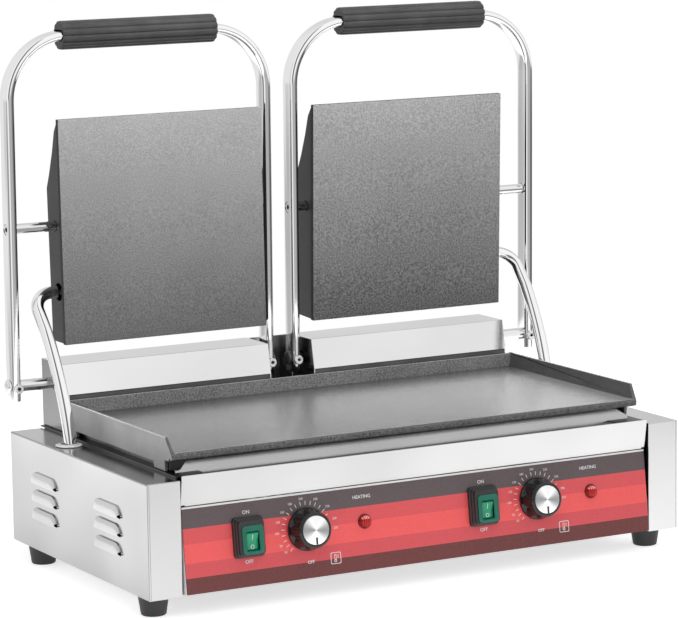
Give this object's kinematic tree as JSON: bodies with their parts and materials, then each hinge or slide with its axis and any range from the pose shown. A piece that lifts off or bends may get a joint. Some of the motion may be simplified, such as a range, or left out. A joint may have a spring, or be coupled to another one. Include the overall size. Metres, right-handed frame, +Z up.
{
  "type": "double panini press",
  "caption": "Countertop panini press: flat griddle, hinged upper plates on tube frames with grips, conduits, drip tray, sloping control panel with dials, rockers and lamps.",
  "frame": {"origin": "centre of the bounding box in plan, on the plane that the feet stand on, with the lids open", "axes": "+Z up, the control panel faces -Y, +X to the right as seen from the front"},
  "size_m": [0.5938, 0.34, 0.5226],
  "materials": {
    "stainless": "brushed stainless sheet",
    "tube_steel": "polished stainless",
    "zinc_steel": "zinc plated",
    "spring_steel": "oiled spring wire",
    "element_steel": "oxidised element sheath",
    "spun_aluminium": "spun disc",
    "cast_iron": "seasoned grey iron",
    "black_steel": "satin black",
    "black_plastic": "satin black",
    "knob_black": "gloss black",
    "grey_plastic": "satin grey",
    "green_plastic": "gloss green",
    "red_lens": "clear red",
    "rubber": "matt",
    "grip_rubber": "matt ribbed",
    "overlay": "printed satin foil"
  },
  "bodies": {
    "base": {"chassis": "zinc_steel", "rear_panel": "zinc_steel", "cable_gland": "black_plastic", "front_baffle": "stainless", "heat_shield": "zinc_steel", "griddle_plate": "cast_iron", "centre_back_plate": "stainless", "panel_overlay": "overlay", "front_panel": "stainless", "end_casing_left": "stainless", "rear_housing_left": "stainless", "hinge_bracket_left": "zinc_steel", "torsion_spring_left": "spring_steel", "lower_element_left": "element_steel", "conduit_washer_left": "grey_plastic", "foot_front_left": "rubber", "foot_back_left": "rubber", "thermostat_left": "grey_plastic", "switch_body_left": "black_plastic", "pilot_lamp_left": "red_lens", "end_casing_right": "stainless", "rear_housing_right": "stainless", "hinge_bracket_right": "zinc_steel", "torsion_spring_right": "spring_steel", "lower_element_right": "element_steel", "conduit_washer_right": "grey_plastic", "foot_front_right": "rubber", "foot_back_right": "rubber", "thermostat_right": "grey_plastic", "switch_body_right": "black_plastic", "pilot_lamp_right": "red_lens"},
    "tray": {"drip_tray": "stainless"},
    "lid_left": {"lid_frame_left": "tube_steel", "grip_left": "grip_rubber", "pivot_shaft_left": "tube_steel", "leg_bolt_outer_left": "zinc_steel", "leg_bolt_inner_left": "zinc_steel", "plate_axle_left": "tube_steel"},
    "plate_left": {"upper_plate_left": "cast_iron", "plate_cover_left": "black_steel", "upper_element_left": "element_steel"},
    "conduit_arm_left": {"conduit_left": "tube_steel"},
    "knob_set_left": {"knob_left": "knob_black", "knob_cap_left": "spun_aluminium", "thermostat_spindle_left": "zinc_steel"},
    "rocker_key_left": {"rocker_left": "green_plastic"},
    "lid_right": {"lid_frame_right": "tube_steel", "grip_right": "grip_rubber", "pivot_shaft_right": "tube_steel", "leg_bolt_outer_right": "zinc_steel", "leg_bolt_inner_right": "zinc_steel", "plate_axle_right": "tube_steel"},
    "plate_right": {"upper_plate_right": "cast_iron", "plate_cover_right": "black_steel", "upper_element_right": "element_steel"},
    "conduit_arm_right": {"conduit_right": "tube_steel"},
    "knob_set_right": {"knob_right": "knob_black", "knob_cap_right": "spun_aluminium", "thermostat_spindle_right": "zinc_steel"},
    "rocker_key_right": {"rocker_right": "green_plastic"}
  },
  "joints": [
    {"name": "lid_hinge_left", "type": "hinge", "parent": "base", "child": "lid_left", "pos_m": [-0.1519, 0.13486, 0.174], "axis": [1, 0, 0], "range_deg": [0, 89.2]},
    {"name": "plate_swivel_left", "type": "hinge", "parent": "lid_left", "child": "plate_left", "pos_m": [-0.1365, 0.13273, 0.32619], "axis": [1, 0, 0], "range_deg": [-0.12, 3.88]},
    {"name": "conduit_swivel_left", "type": "hinge", "parent": "lid_left", "child": "conduit_arm_left", "pos_m": [-0.2425, 0.12962, 0.26264], "axis": [1, 0, 0], "range_deg": [-34.2, 0.2]},
    {"name": "lid_hinge_right", "type": "hinge", "parent": "base", "child": "lid_right", "pos_m": [0.1519, 0.13486, 0.174], "axis": [1, 0, 0], "range_deg": [0, 89.2]},
    {"name": "plate_swivel_right", "type": "hinge", "parent": "lid_right", "child": "plate_right", "pos_m": [0.1365, 0.13273, 0.32619], "axis": [1, 0, 0], "range_deg": [-3.12, 0.88]},
    {"name": "conduit_swivel_right", "type": "hinge", "parent": "lid_right", "child": "conduit_arm_right", "pos_m": [0.2425, 0.12962, 0.26264], "axis": [1, 0, 0], "range_deg": [-34.2, 0.2]},
    {"name": "knob_turn_left", "type": "hinge", "parent": "base", "child": "knob_set_left", "pos_m": [-0.1243, -0.14858, 0.06717], "axis": [0, 0.9926, -0.1211], "range_deg": [0, 300]},
    {"name": "knob_turn_right", "type": "hinge", "parent": "base", "child": "knob_set_right", "pos_m": [0.1243, -0.14858, 0.06717], "axis": [0, 0.9926, -0.1211], "range_deg": [0, 300]},
    {"name": "rocker_press_left", "type": "hinge", "parent": "base", "child": "rocker_key_left", "pos_m": [-0.1848, -0.15206, 0.06759], "axis": [-1, 0, 0], "range_deg": [0, 18]},
    {"name": "rocker_press_right", "type": "hinge", "parent": "base", "child": "rocker_key_right", "pos_m": [0.0638, -0.15206, 0.06759], "axis": [-1, 0, 0], "range_deg": [0, 18]},
    {"name": "tray_slide", "type": "slide", "parent": "base", "child": "tray", "axis": [0, -1, 0], "range_m": [0, 0.13]}
  ],
  "couplings": [
    {"joint": "conduit_swivel_left", "follows": "lid_hinge_left", "ratio": -0.38},
    {"joint": "conduit_swivel_right", "follows": "lid_hinge_right", "ratio": -0.38}
  ]
}
